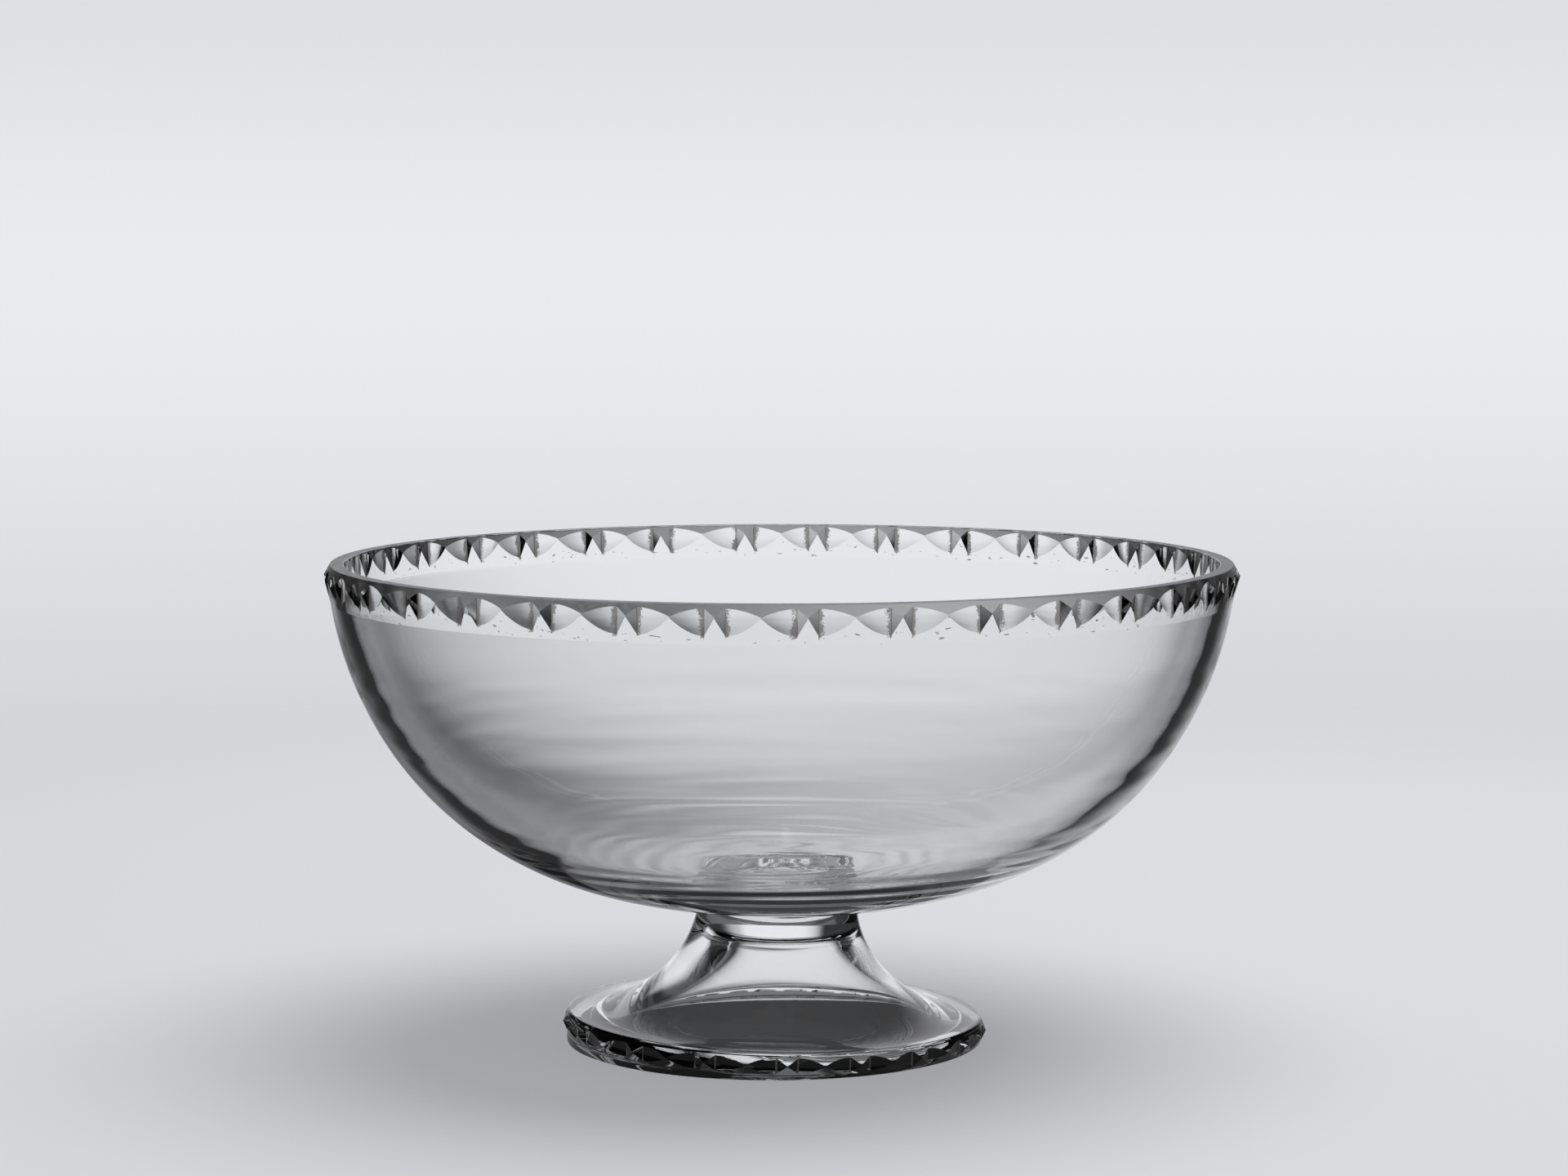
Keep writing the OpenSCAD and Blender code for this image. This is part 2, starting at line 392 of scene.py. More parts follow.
class Waves:
    """Smooth unevenness round the bowl: a sum of seeded waves of an angle and a length."""

    def __init__(self, seed, count, rounds, lengths):
        draw = np.random.default_rng(seed)
        self.turns = np.rint(draw.uniform(*rounds, count))
        self.along = TAU / draw.uniform(*lengths, count) * draw.choice([-1, 1], count)
        self.start = draw.uniform(0, TAU, count)
        self.size = draw.uniform(0.5, 1, count)
        self.size /= np.sqrt((self.size ** 2).sum() / 2)

    def at(self, angle, length):
        """Its values, of a usual size of 1, at arrays of an angle and a length."""
        total = np.zeros(np.broadcast(angle, length).shape)
        for turns, along, start, size in zip(self.turns, self.along, self.start, self.size):
            total += size * np.sin(turns * angle + along * length + start)
        return total


BROAD = Waves(seed=3, count=6, rounds=(1, 4), lengths=(60, 160))
RIPPLE = Waves(seed=11, count=26, rounds=(0, 5), lengths=(5, 14))
STRIAE = Waves(seed=19, count=20, rounds=(2, 9), lengths=(16, 40))
RINGS = Waves(seed=29, count=12, rounds=(0, 2), lengths=(3.8, 7.5))


def blown(profile, angles, broad, ripple, striae):
    """A profile made uneven as blown glass is, by a size of each kind at each point."""
    r, z = rows_of(profile, len(angles))
    length = lengths_of(profile)[:, None]
    moved = np.zeros_like(r)
    for waves, size in ((BROAD, broad), (RIPPLE, ripple), (STRIAE, striae)):
        moved += size[:, None] * waves.at(angles[None, :], length)
    normal = normals_of(profile)
    return r + normal[:, :1] * moved, z + normal[:, 1:] * moved


def pair_middles(pairs, phase, shifts):
    """The angles of the middles of the pairs of cuts, from the front to the right, in degrees."""
    return [phase + (i + shifts[i % len(shifts)]) * 360 / pairs for i in range(pairs)]


def chord(start, end, angle):
    """The radius, at an angle, of the straight line between two places (angle, radius)."""
    a, b, at = (math.radians(v) for v in (start[0], end[0], angle))
    above = start[1] * end[1] * math.sin(b - a)
    return above / (start[1] * math.sin(at - a) + end[1] * math.sin(b - at))


class Cuts:
    """The pairs of cuts round a band, as the angles of mesh columns and the radius at each.

    From one pair to the next there are a narrow facet, two wide ones and a narrow one. beside
    says how far from its cut line a facet has its first column, and parts how many parts the
    rest of it has, both for narrow and for wide facets.
    """

    # The most that the part beside the line takes of a facet
    BESIDE_SHARE = 0.3

    def __init__(self, pairs, phase, shifts, ridge_r, cut_t, pair_w, beside, parts):
        line_r = ridge_r - cut_t
        half = math.degrees(math.asin(pair_w / 2 / line_r))
        corners = self.corners(pair_middles(pairs, phase, shifts), half, line_r, ridge_r - POINT_T)
        columns = []
        for i, (start, end) in enumerate(zip(corners, corners[1:])):
            wide = i % 4 in (1, 2)
            span = end[0] - start[0]
            near = min(math.degrees(beside[wide] / line_r), span * self.BESIDE_SHARE) / span
            for share in self.shares(start[2], end[2], near, parts[wide]):
                angle = start[0] + span * share
                depth = HOLLOW_SHARE * cut_t * bow(share) if wide else 0
                columns.append((angle, chord(start, end, angle) - depth, start[2] and share == 0))
        angles, radii, lines = np.array(columns, float).T
        self.angles = np.radians(angles)
        self.radii = radii
        self.lines = lines

    @staticmethod
    def corners(middles, half, line_r, tip_r):
        """The ends of the facets all round: angle, radius, and whether a cut line is there."""
        corners = []
        for middle, after in zip(middles, middles[1:] + [middles[0] + 360]):
            corners += [
                (middle, tip_r, False),
                (middle + half, line_r, True),
                ((middle + after) / 2, tip_r, False),
                (after - half, line_r, True),
            ]
        return corners + [(middles[0] + 360, tip_r, False)]

    @staticmethod
    def shares(from_line, to_line, near, count):
        """The places of a facet's columns, as shares of it, without its end."""
        first = near if from_line else 0
        last = 1 - near if to_line else 1
        shares = [first + (last - first) * k / count for k in range(count + to_line)]
        return [0] + shares if from_line else shares


RIM_CUTS = Cuts(
    RIM_PAIRS, RIM_PHASE, RIM_SHIFT_SHARES, RIM_R, RIM_CUT_T, RIM_PAIR_W, beside=(0.35, 2), parts=(3, 5)
)
FOOT_CUTS = Cuts(
    FOOT_PAIRS, FOOT_PHASE, FOOT_SHIFT_SHARES, FOOT_R, FOOT_CUT_T, FOOT_PAIR_W,
    beside=(0.35, 0.35), parts=(4, 12),
)


def upright(angles, r, z):
    """Places (x, y, z) of rings of radii and heights round the bowl's axis."""
    return r * np.sin(angles), -r * np.cos(angles), z


def leaning(angles, r, z):
    """The same round the axis of the foot, which was joined a little crooked."""
    x, y, z = upright(angles, r, z)
    sine, cosine = math.sin(FOOT_LEAN), math.cos(FOOT_LEAN)
    above = z - SEAT_Z
    return x * cosine + above * sine - NECK_SHIFT, y, SEAT_Z + above * cosine - x * sine


def ground_height(angles, r, level):
    """The height along the leaning axis at which it was ground flat at a level."""
    x = r * np.sin(angles)
    return SEAT_Z + (level - SEAT_Z + x * math.sin(FOOT_LEAN)) / math.cos(FOOT_LEAN)


# The numbers of the materials in a piece's list
CLEAR = 0
JOINT = 1
GROUND_SHADED = 2


def ring_points(places):
    """The points of rows of places, and the numbers of each row's points.

    A row whose places are all the same becomes one point.
    """
    points, index = [], []
    for x, y, z in zip(*places):
        if np.ptp(x) + np.ptp(y) < SAME_PLACE:
            index.append(np.full(len(x), len(points)))
            points.append((x.mean(), y.mean(), z.mean()))
        else:
            index.append(len(points) + np.arange(len(x)))
            points += list(zip(x, y, z))
    return points, index


def ring_faces(index, part_of, closed, turned):
    """The faces between each row of points and the next, and the material number of each."""
    rows, columns = len(index), len(index[0])
    faces, slots = [], []
    for k in range(rows if closed else rows - 1):
        low, high = index[k], index[(k + 1) % rows]
        if low[0] == low[1] and high[0] == high[1]:
            continue
        for j in range(columns):
            n = (j + 1) % columns
            corners = [low[j], low[n], high[n], high[j]]
            face = [int(v) for i, v in enumerate(corners) if v != corners[i - 1]]
            faces.append(face[::-1] if turned else face)
            slots.append(int(part_of[k]))
    return faces, slots


def grid_mesh(name, angles, places, materials, part_of, sharp=ROUND_SHARP, closed=True):
    """A round piece from its places: one row per profile point and one column per angle.

    part_of gives the material number of each band between a row and the next. Returns the
    piece and the numbers of each row's points.
    """
    points, index = ring_points(places)
    x, y, z = (c[:, 0] for c in places)
    out = x * math.sin(angles[0]) - y * math.cos(angles[0])
    turned = (out * np.roll(z, -1) - np.roll(out, -1) * z).sum() < 0
    faces, slots = ring_faces(index, part_of, closed, turned)
    mesh = bpy.data.meshes.new(name)
    mesh.from_pydata([tuple(c * MM for c in point) for point in points], [], faces)
    mesh.polygons.foreach_set("material_index", slots)
    mesh.polygons.foreach_set("use_smooth", [True] * len(faces))
    for material in materials:
        mesh.materials.append(material)
    mesh.update()
    mesh.set_sharp_from_angle(angle=math.radians(sharp))
    piece = bpy.data.objects.new(name, mesh)
    bpy.context.scene.collection.objects.link(piece)
    return piece, index


def mark(piece, name, index, values):
    """Stores a number at each point of a piece made by grid_mesh, from one row per profile point."""
    attribute = piece.data.attributes.new(name, "FLOAT", "POINT")
    flat = np.zeros(len(piece.data.vertices), np.float32)
    for row, numbers in zip(index, values):
        flat[row] = numbers
    attribute.data.foreach_set("value", flat)


def finish_piece(piece, node):
    """Hides the part of the node that a piece shows, and ties the piece to the one body."""
    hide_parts(node)
    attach(piece, "root")


def make_bowl(clear, joint):
    """The blown body, from its seat on the neck up to the rim band."""
    angles = np.linspace(0, TAU, BOWL_COLUMNS, endpoint=False)
    seat_angle = curve_angle(CURVE_Z - SEAT_Z, OUTER_DEEP)
    outer = evenly(outer_point, OUTER_BAND_ANGLE, seat_angle, OUTSIDE_STEP)
    bottom_end = (1 - BOTTOM_SHARE) * math.pi / 2
    inner = np.vstack([
        evenly(inner_point, math.pi / 2, bottom_end, BOTTOM_STEP)[:-1],
        evenly(inner_point, bottom_end, INNER_BAND_ANGLE, INSIDE_STEP),
    ])
    inner[0, 0] = 0

    fade = rise(BAND_Z - outer[:, 1], BAND_FADE) * rise(outer[:, 1] - SEAT_Z, SEAT_FADE)
    outside = blown(outer, angles, BROAD_SIZE * fade, RIPPLE_OUTSIDE * fade, STRIAE_OUTSIDE * fade)

    inner_r, inner_z = inner.T
    fade = rise(BAND_Z - inner_z, BAND_FADE) * rise(inner_r, AXIS_FADE)
    gain = 1 + LOW_GAIN * rise(LOW_Z - inner_z, LOW_FADE)
    r, z = blown(inner, angles, BROAD_SIZE * fade, RIPPLE_INSIDE * fade * gain, STRIAE_INSIDE * fade)
    size = RING_SIZE * rise(inner_r, RINGS_FADE_IN) * rise(RINGS_R - inner_r, RINGS_FADE_OUT)
    inside = r, z + size[:, None] * RINGS.at(angles[None, :], inner_r[:, None])

    # The seat ends where the neck does, which stands a little to the left of the bowl's axis
    seat_r, seat_z = rows_of([(0, SEAT_Z), (0, SEAT_Z)], len(angles))
    towards = -NECK_SHIFT * np.sin(angles)
    seat_r[0] = towards + np.sqrt(NECK_R ** 2 - NECK_SHIFT ** 2 + towards ** 2)

    r, z = stacked(outside, (seat_r, seat_z), inside)
    part_of = [CLEAR] * len(r)
    part_of[len(outer)] = JOINT
    part_of[-1] = JOINT
    piece, _ = grid_mesh("bowl_body", angles, upright(angles, r, z), [clear, joint], part_of)
    finish_piece(piece, "bowl")


def make_rim_band(clear, joint, ground):
    """The band at the rim, cut all round, with its flat top and its upper bevel ground and greyed with
    painted shade.
    """
    angles = RIM_CUTS.angles
    cut_r = RIM_CUTS.radii
    inner = evenly(inner_point, INNER_BAND_ANGLE, curve_angle(CURVE_Z - RIM_Z, INNER_DEEP), BAND_STEP)
    top_r = inner[-1, 0]
    flat_from, flat_to = (top_r + RIM_EASE, RIM_Z), (WALL_R - RIM_EDGE_W, RIM_Z)
    fixed = rows_of(
        [
            *inner[:-1],
            (top_r, RIM_Z - RIM_EASE),
            (top_r + RIM_EASE * EASE_SHARE, RIM_Z - RIM_EASE * EASE_SHARE),
            *straight(flat_from, flat_to, RIM_TOP_STEPS),
            flat_to,
            (WALL_R, RIM_Z - RIM_EDGE_H),
        ],
        len(angles),
    )
    out = (cut_r - WALL_R) / RIM_OUT
    high = RIM_Z - RIM_BEVEL_H * out
    low = BAND_Z + (RIM_Z - RIM_BEVEL_H - BAND_Z) * out
    worn = FACET_DIP * ((high - low) / (RIM_Z - BAND_Z)) ** 2
    r, z = stacked(
        fixed,
        rows_between((WALL_R, RIM_Z), (cut_r, high), BEVEL_ROWS),
        rows_between((cut_r, high), (cut_r, low), FACET_ROWS, worn),
        rows_between((cut_r, low), (WALL_R, BAND_Z), BEVEL_ROWS),
    )
    facets_from = len(fixed[0]) + len(BEVEL_ROWS) - 1
    facets_to = facets_from + len(FACET_ROWS)
    part_of = np.full(len(r), CLEAR)

    # Ground from the inner edge of the flat top over the upper bevel, down to the facets, and greyed
    # there with painted shade
    part_of[len(inner) + 1 : facets_from] = GROUND_SHADED
    part_of[-1] = JOINT
    places = upright(angles, r, z)
    piece, index = grid_mesh("rim_band_cut", angles, places, [clear, joint, ground], part_of, CUT_SHARP)
    cut_line = np.zeros_like(r)
    cut_line[facets_from : facets_to + 1] = RIM_CUTS.lines
    mark(piece, "cut_line", index, cut_line)
    seam = np.zeros_like(r)
    seam[-2:] = np.array(SEAM_MARKS)[:, None]
    mark(piece, "seam", index, seam)
    finish_piece(piece, "rim_band")


def make_neck(clear, joint):
    """The short post of glass between foot and bowl, level on top where the bowl sits."""
    angles = FOOT_CUTS.angles
    side = evenly(foot_top_point, 0, FOOT_TOP_ANGLE, NECK_STEP)
    r, z = rows_of(side, len(angles))
    share = rise(z - FOOT_H, SEAT_Z - FOOT_H)
    z = z + share * (ground_height(angles, NECK_R, SEAT_Z) - SEAT_Z)
    post = leaning(angles, *stacked((r, z), rows_of([(0, FOOT_H)], len(angles))))
    top = [np.full((1, len(angles)), c) for c in (-NECK_SHIFT, 0.0, SEAT_Z)]
    places = stacked(top, post)
    part_of = [JOINT] + [CLEAR] * (len(side) - 1) + [JOINT]
    piece, _ = grid_mesh("neck_post", angles, places, [clear, joint], part_of, closed=False)
    finish_piece(piece, "neck")


def make_foot(clear, joint):
    """The hollow trumpet foot, up to the seam with its band."""
    angles = FOOT_CUTS.angles
    side = evenly(foot_top_point, FOOT_TOP_ANGLE, FOOT_SEAM_ANGLE, FOOT_STEP)
    r, z = rows_of([(0, FOOT_H), *side, (SEAM_R, 0)], len(angles))
    z[-1] = ground_height(angles, SEAM_R, 0)
    outside = leaning(angles, r, z)
    ceiling_r = CROWN_R - CROWN_ROUND
    hollow = upright(angles, *rows_of(
        [
            *evenly(hollow_point, math.pi / 2, 0, FOOT_STEP),
            *arc((ceiling_r, HOLLOW_H), CROWN_ROUND, CROWN_STEPS)[1:],
            *straight((ceiling_r, CROWN_Z), (0, CROWN_Z), CEILING_STEPS)[1:],
            (0, CROWN_Z),
        ],
        len(angles),
    ))
    shares = np.array([1 / 3, 2 / 3])[:, None]
    rest = [o[-1] + (h[0] - o[-1]) * shares for o, h in zip(outside, hollow)]
    places = stacked(outside, rest, hollow)
    part_of = [CLEAR] * len(places[0])
    part_of[0] = JOINT
    part_of[len(side)] = JOINT
    piece, _ = grid_mesh("foot_trumpet", angles, places, [clear, joint], part_of, closed=False)
    finish_piece(piece, "foot")


def make_foot_band(clear, joint):
    """The cut band at the edge of the foot, with a lip below and a rounded shoulder above."""
    angles = FOOT_CUTS.angles
    columns = len(angles)
    cut_r = FOOT_CUTS.radii
    out = (cut_r - LIP_R) / FOOT_OUT
    low = LIP_H + FOOT_LOW_H * out
    high = SHOULDER_Z - FOOT_HIGH_H * out

    # The ground face and the lip's worn edge, as radii and shares of the height of that edge
    ease_r = LIP_R - LIP_EASE
    r, lift = rows_of(
        [
            *straight((SEAM_R, 0), (ease_r, 0), UNDER_STEPS),
            (ease_r, 0),
            (LIP_R - LIP_EASE * EASE_SHARE, EASE_SHARE),
            (LIP_R, 1),
        ],
        columns,
    )
    ground = ground_height(angles, r, 0)
    under = r, ground + lift * LIP_EASE
    lip_z = [(ground[-1] + LIP_EASE + LIP_H) / 2, np.full(columns, LIP_H)]
    lip = np.full((2, columns), LIP_R), np.array(lip_z)

    worn = FOOT_FACET_DIP * ((high - low) / (SHOULDER_Z - LIP_H)) ** 2
    shoulder = arc((DISC_R, SHOULDER_Z), SHOULDER_ROUND, SHOULDER_STEPS)[1:]
    top = evenly(foot_top_point, math.pi / 2, FOOT_SEAM_ANGLE, FOOT_STEP)[1:]
    r, z = stacked(
        under,
        lip,
        rows_between((LIP_R, LIP_H), (cut_r, low), BEVEL_ROWS),
        rows_between((cut_r, low), (cut_r, high), FACET_ROWS, worn),
        rows_between((cut_r, high), (LIP_R, SHOULDER_Z), BEVEL_ROWS),
        rows_of([*shoulder, *top], columns),
    )
    part_of = [CLEAR] * len(r)
    part_of[-1] = JOINT
    places = leaning(angles, r, z)
    piece, index = grid_mesh("foot_band_cut", angles, places, [clear, joint], part_of, CUT_SHARP)
    facets_from = len(under[0]) + len(lip[0]) + len(BEVEL_ROWS) - 1
    facets_to = facets_from + len(FACET_ROWS)
    cut_line = np.zeros_like(r)
    cut_line[facets_from : facets_to + 1] = FOOT_CUTS.lines
    mark(piece, "cut_line", index, cut_line)
    finish_piece(piece, "foot_band")


class Nodes:
    """Short calls for building a node tree."""

    def __init__(self, tree):
        self.tree = tree
        self.tree.nodes.clear()

    def add(self, kind, inputs=(), **settings):
        """A node with its inputs linked or set, and its settings."""
        node = self.tree.nodes.new(kind)
        for key, value in settings.items():
            setattr(node, key, value)
        for key, value in dict(inputs).items():
            if isinstance(value, bpy.types.NodeSocket):
                self.tree.links.new(value, node.inputs[key])
            else:
                node.inputs[key].default_value = value
        return node

    def place(self):
        """The place on the object, in metres."""
        return self.add("ShaderNodeTexCoord").outputs["Object"]

    def stretched(self, place, scale):
        """A place with each of its axes scaled."""
        return self.add("ShaderNodeMapping", {"Vector": place, "Scale": scale}).outputs[0]

    def noise(self, place, scale, detail, roughness=0.5):
        """Smooth noise, about 0.5 on average."""
        inputs = {"Vector": place, "Scale": scale, "Detail": detail, "Roughness": roughness}
        return self.add("ShaderNodeTexNoise", inputs).outputs[0]

    def marked(self, name):
        """The number that mark stored under a name."""
        return self.add("ShaderNodeAttribute", attribute_name=name).outputs["Fac"]

    def math(self, operation, a, b=0.0):
        """One sum of one or two values."""
        return self.add("ShaderNodeMath", {0: a, 1: b}, operation=operation).outputs[0]

    def ramp(self, value, low, high, to_low=0.0, to_high=1.0):
        """A smooth step between two values, the first the lower."""
        node = self.add(
            "ShaderNodeMapRange",
            {"Value": value, "From Min": low, "From Max": high, "To Min": to_low, "To Max": to_high},
            interpolation_type="SMOOTHSTEP",
        )
        return node.outputs["Result"]

    def between(self, angle, low, high, to_low=0.0, to_high=1.0):
        """The same between two angles in degrees."""
        return self.ramp(angle, math.radians(low), math.radians(high), to_low, to_high)

    def steps(self, value, *stops):
        """A smooth curve through pairs of a value and what it gives, in rising order."""
        total = stops[0][1]
        for (a, low), (b, high) in zip(stops, stops[1:]):
            total = self.math("ADD", self.ramp(value, a, b, 0, high - low), total)
        return total

    def mix(self, share, first, second):
        """One shader where a share is 0 and another where it is 1."""
        return self.add("ShaderNodeMixShader", {0: share, 1: first, 2: second}).outputs[0]

    def surface(self, shader):
        """The end of the tree."""
        self.add("ShaderNodeOutputMaterial", {"Surface": shader})


def grey(value, tint=(1, 1, 1)):
    """A grey with a tint, as a colour."""
    return (value * tint[0], value * tint[1], value * tint[2], 1)


def new_material(name):
    """A material and its empty node tree."""
    material = bpy.data.materials.new(name)
    material.use_nodes = True
    return material, Nodes(material.node_tree)


def rough_share(n, place):
    """How rough the glass is: chips along the cut lines, and flecks along the seam."""
    line = n.marked("cut_line")
    grain = n.noise(place, scale=2600.0, detail=4.0, roughness=0.7)
    patch = n.noise(place, scale=260.0, detail=1.0)
    mixed = n.math("ADD", n.math("MULTIPLY", grain, GRAIN_WEIGHT), patch)
    uneven = n.math("MULTIPLY", n.math("SUBTRACT", mixed, CHIP_LEVEL), CHIP_GAIN)
    chipped = n.ramp(n.math("ADD", line, uneven), *CHIP_STEP)
    chips = n.math("MULTIPLY", chipped, n.ramp(line, *LINE_STEP))
    fleck = n.noise(n.stretched(place, FLECK_STRETCH), scale=430.0, detail=3.0)
    flecks = n.math("MULTIPLY", n.ramp(fleck, *FLECK_STEP), n.ramp(n.marked("seam"), *SEAM_STEP))
    return n.math("MULTIPLY", n.math("MAXIMUM", chips, flecks), ROUGH_MOST)


def glass(name, shade, wave_h, wave_scale, wave_stretch, chips=False):
    """Clear glass with faint waves, and with rough chips and flecks where asked."""
    material, n = new_material(name)
    place = n.place()
    waves = n.noise(n.stretched(place, wave_stretch), wave_scale, detail=2.0)
    bump = n.add("ShaderNodeBump", {"Height": waves, "Strength": 1.0, "Distance": wave_h})
    body = n.add(
        "ShaderNodeBsdfPrincipled",
        {
            "Base Color": grey(shade, GLASS_TINT), "Roughness": 0.0, "IOR": IOR,
            "Transmission Weight": 1.0, "Normal": bump.outputs[0],
        },
    ).outputs[0]
    if chips:
        rough = n.add(
            "ShaderNodeBsdfPrincipled",
            {"Base Color": DIRT, "Roughness": 0.6, "IOR": IOR, "Transmission Weight": 0.35},
        ).outputs[0]
        body = n.mix(rough_share(n, place), body, rough)
    n.surface(body)
    return material


def shaded_ground_glass():
    """Glass left satin by the grinding wheel, with a grey colour that is painted shade."""
    material, n = new_material("shaded_ground_glass")
    grain = n.noise(n.place(), scale=900.0, detail=2.0)
    satin = n.add(
        "ShaderNodeBsdfPrincipled",
        {
            "Base Color": grey(GROUND_SHADE_GREY), "Roughness": n.ramp(grain, 0.3, 0.7, *GROUND_ROUGH),
            "IOR": IOR, "Transmission Weight": 1.0,
        },
    )
    n.surface(satin.outputs[0])
    return material


def joint_material():
    """The join of two fused pieces, where light passes straight on."""
    material, n = new_material("fused_joint")
    n.surface(n.add("ShaderNodeBsdfTransparent").outputs[0])
    return material


def floor_mesh():
    """A round disc in rings, just under the bowl."""
    mesh = bpy.data.meshes.new("floor")
    points = [(0, 0, -FLOOR_DROP)]
    faces = []
    for i, radius in enumerate(FLOOR_RINGS):
        outer = 1 + i * FLOOR_COLUMNS
        inner = outer - FLOOR_COLUMNS
        for j in range(FLOOR_COLUMNS):
            a = TAU * j / FLOOR_COLUMNS
            points.append((radius * math.cos(a), radius * math.sin(a), -FLOOR_DROP))
            n = (j + 1) % FLOOR_COLUMNS
            if i == 0:
                faces.append([0, outer + j, outer + n])
            else:
                faces.append([inner + j, outer + j, outer + n, inner + n])
    mesh.from_pydata(points, [], faces)
    mesh.update()
    return mesh


def floor_material():
    """Plain and pale for the camera, while the glass mirrors and shows a table of its own, with painted
    shade under the foot and painted light in its reflections.
    """
    material, n = new_material("floor")
    radius = n.add("ShaderNodeVectorMath", {0: n.place()}, operation="LENGTH").outputs["Value"]
    ray = n.add("ShaderNodeLightPath").outputs
    clear = n.add("ShaderNodeBsdfTransparent").outputs[0]
    matt = n.add("ShaderNodeBsdfDiffuse", {"Color": grey(FLOOR_GREY, TINT)}).outputs[0]
    glow = n.add("ShaderNodeEmission", {"Color": grey(1, TINT), "Strength": FLOOR_GLOW}).outputs[0]
    plain = n.add("ShaderNodeAddShader", {0: matt, 1: glow}).outputs[0]
    turned = n.math("GREATER_THAN", ray["Glossy Depth"], 0.5)
    # Dark under the foot, as the table's tone and as painted shade; in reflections it takes other tones,
    # which are painted light
    dark = n.ramp(turned, 0, 1, TABLE_DARK_AND_SHADE, n.ramp(radius, *TURNED_STEP, *TURNED_PAINTED_TONES))
    pale = n.math("MULTIPLY", n.ramp(radius, *TABLE_PALE_FROM), n.math("SUBTRACT", 1, turned))
    tone = n.ramp(pale, 0, 1, dark, TABLE_PALE)
    table = n.add("ShaderNodeEmission", {"Color": grey(1, TINT), "Strength": tone}).outputs[0]
    through = n.mix(n.ramp(radius, *TABLE_END), table, clear)
    seen = n.mix(ray["Is Camera Ray"], through, plain)
    n.surface(n.mix(n.ramp(radius, *FLOOR_FADE), seen, clear))
    return material


def make_floor():
    """A plain pale floor that fades into the backdrop far out."""
    mesh = floor_mesh()
    mesh.materials.append(floor_material())
    floor = bpy.data.objects.new("floor", mesh)
    bpy.context.scene.collection.objects.link(floor)


def window(n, angle, rising):
    """The brightness of the window straight behind, by the angle and height of a direction.

    Its left side leans to the right lower down and is dimmer further out.
    """
    lean = n.steps(rising, *((math.radians(h), math.radians(a)) for h, a in WINDOW_LEAN))
    left = n.between(n.math("ADD", angle, lean), *WINDOW_LEFT)
    dimmed = n.math("ADD", *(n.between(rising, *heights, 0, gain) for heights, gain in DIM_STEPS))
    dim = n.math("MULTIPLY", n.between(angle, *DIM_LEFT), dimmed)
    lit = n.math("ADD", dim, n.math("MULTIPLY", left, n.math("SUBTRACT", 1, dim)))
    moved = n.between(rising, *WINDOW_DRAWN, 0, math.radians(WINDOW_DRAWN_BY))
    drawn = n.math("SUBTRACT", angle, moved)
    inner = n.between(drawn, *WINDOW_RIGHT, 1, WINDOW_RIGHT_DIM)
    right = n.math("MULTIPLY", inner, n.between(drawn, *WINDOW_RIGHT_END, 1, 0))
    return n.math("MULTIPLY", lit, right)


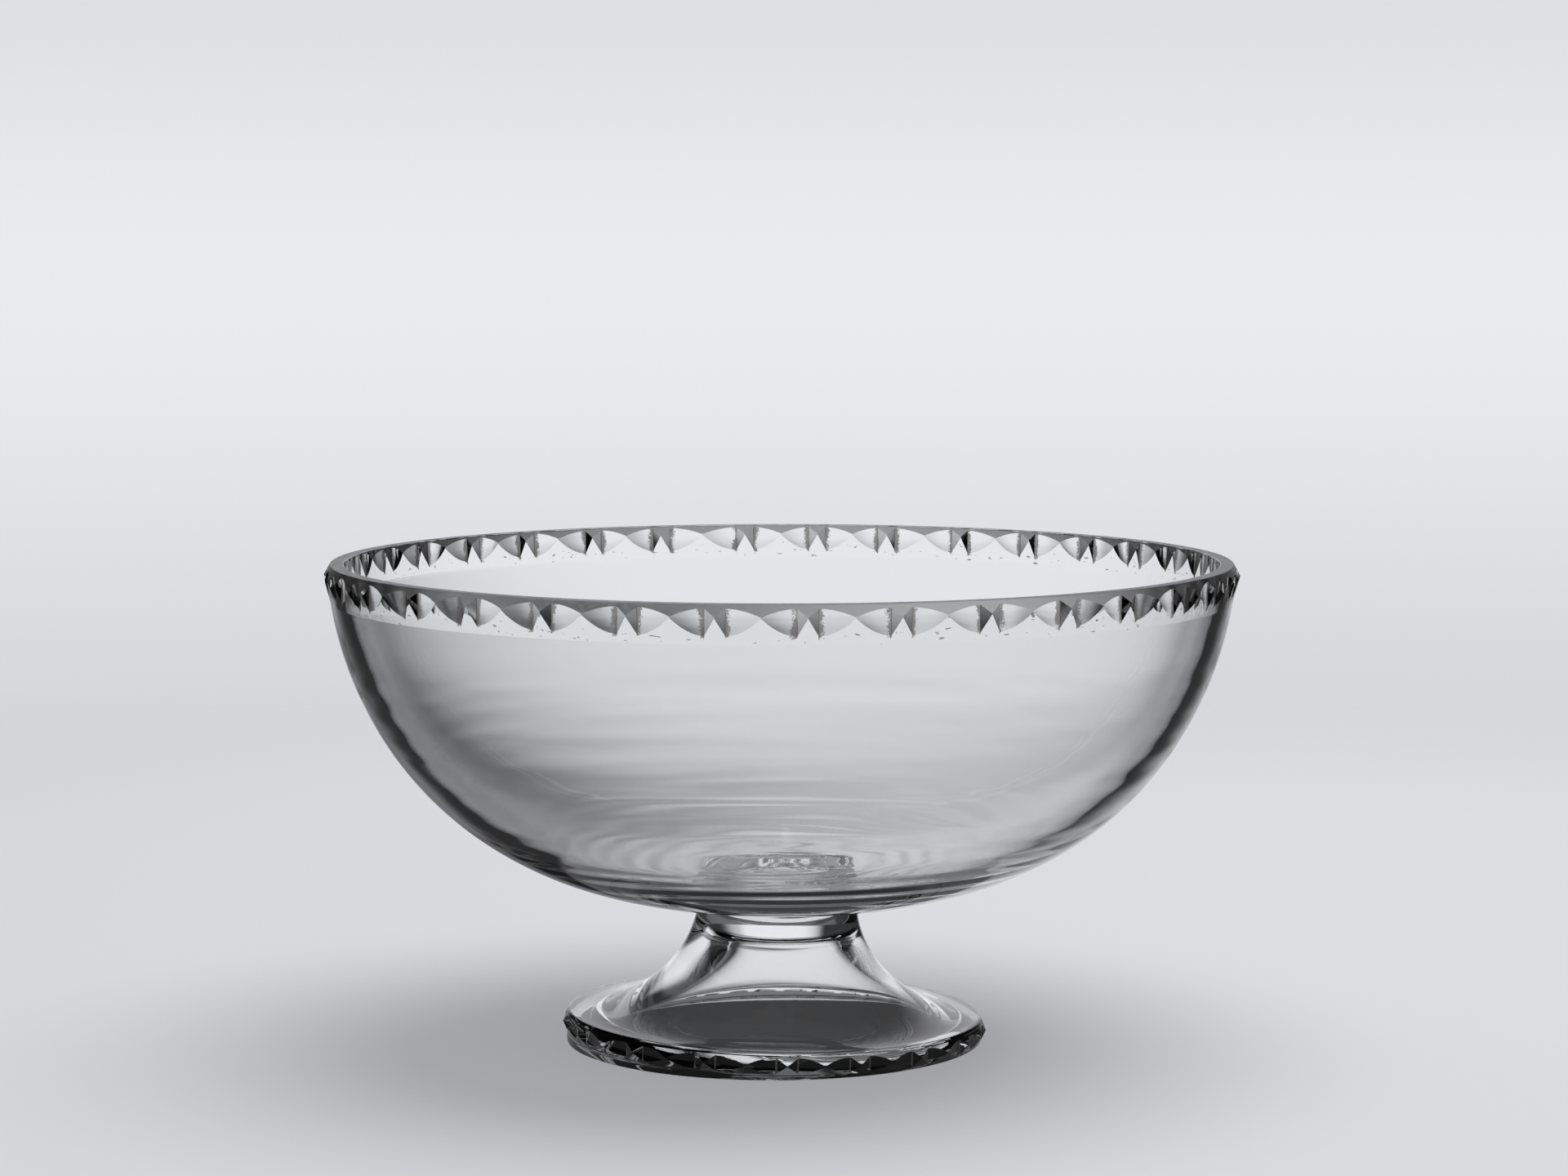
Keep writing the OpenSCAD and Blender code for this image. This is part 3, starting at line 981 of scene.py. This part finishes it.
def make_world():
    """A dark studio with a bright window straight behind the bowl.

    Light that passes straight on through the glass also finds bright sides and a bright ground
    low down. The camera sees one plain pale backdrop in its place, which the glass doesn't show,
    because the glass in the photograph is lit by a bright window in a dark room.
    """
    world = bpy.data.worlds.new("studio")
    bpy.context.scene.world = world
    world.use_nodes = True
    n = Nodes(world.node_tree)
    way = n.add("ShaderNodeTexCoord").outputs["Generated"]
    x, y, z = n.add("ShaderNodeSeparateXYZ", {0: way}).outputs
    rising = n.math("ARCSINE", z)
    angle = n.math("ARCTAN2", x, y)
    ray = n.add("ShaderNodeLightPath").outputs
    direct = n.math("LESS_THAN", ray["Glossy Depth"], 0.5)
    sides = n.math("MULTIPLY", n.between(n.math("ABSOLUTE", angle), *SIDES_FROM), direct)
    under = n.math("MULTIPLY", n.between(rising, *GROUND_BELOW, 1, 0), direct)
    lit = n.math("MAXIMUM", window(n, angle, rising), n.math("MAXIMUM", sides, under))
    panel = n.ramp(lit, 0, 1, ROOM_DARK, 1)
    seen = n.math("MULTIPLY", panel, n.steps(rising, *STUDIO_HEIGHTS))
    plain = n.steps(rising, *BACKDROP_HEIGHTS)
    strength = n.add("ShaderNodeMix", {0: ray["Is Camera Ray"], 2: seen, 3: plain}).outputs[0]
    back = n.add("ShaderNodeBackground", {"Color": grey(1, TINT), "Strength": strength})
    n.add("ShaderNodeOutputWorld", {"Surface": back.outputs[0]})


def make_light():
    """A large soft lamp above, which shows neither in the glass nor through it."""
    light = bpy.data.lights.new("overhead", "AREA")
    light.shape = "DISK"
    light.size = 1.6
    light.energy = 18
    lamp = bpy.data.objects.new("overhead", light)
    lamp.location = (0.3, 0.2, 1.6)
    lamp.rotation_euler = (math.radians(-7), math.radians(10), 0)
    lamp.visible_glossy = False
    lamp.visible_transmission = False
    bpy.context.scene.collection.objects.link(lamp)


def make_camera():
    """The photograph's camera."""
    data = bpy.data.cameras.new("camera")
    data.sensor_width = SENSOR_MM
    data.lens = LENS_MM
    camera = bpy.data.objects.new("camera", data)
    camera.location = (CAMERA_X, CAMERA_Y, CAMERA_Z)
    camera.rotation_euler = (math.radians(90 - CAMERA_PITCH), 0, 0)
    bpy.context.scene.collection.objects.link(camera)
    bpy.context.scene.camera = camera


make_camera()
make_world()
make_light()
make_floor()

# Waves of the surfaces too faint for the meshes, with their height in metres
BLOWN_GLASS = glass("blown_glass", 0.955, wave_h=0.00004, wave_scale=12.0, wave_stretch=(1, 1, 5))
CUT_GLASS = glass("cut_glass", 0.97, wave_h=0.00001, wave_scale=60.0, wave_stretch=(1, 1, 1), chips=True)
FOOT_GLASS = glass("foot_glass", 0.97, wave_h=0.00003, wave_scale=20.0, wave_stretch=(1, 1, 2))
FUSED = joint_material()
make_bowl(BLOWN_GLASS, FUSED)
make_rim_band(CUT_GLASS, FUSED, shaded_ground_glass())
make_neck(FOOT_GLASS, FUSED)
make_foot(FOOT_GLASS, FUSED)
make_foot_band(CUT_GLASS, FUSED)

bpy.context.scene.view_settings.view_transform = "Standard"

bpy.context.view_layer.update()
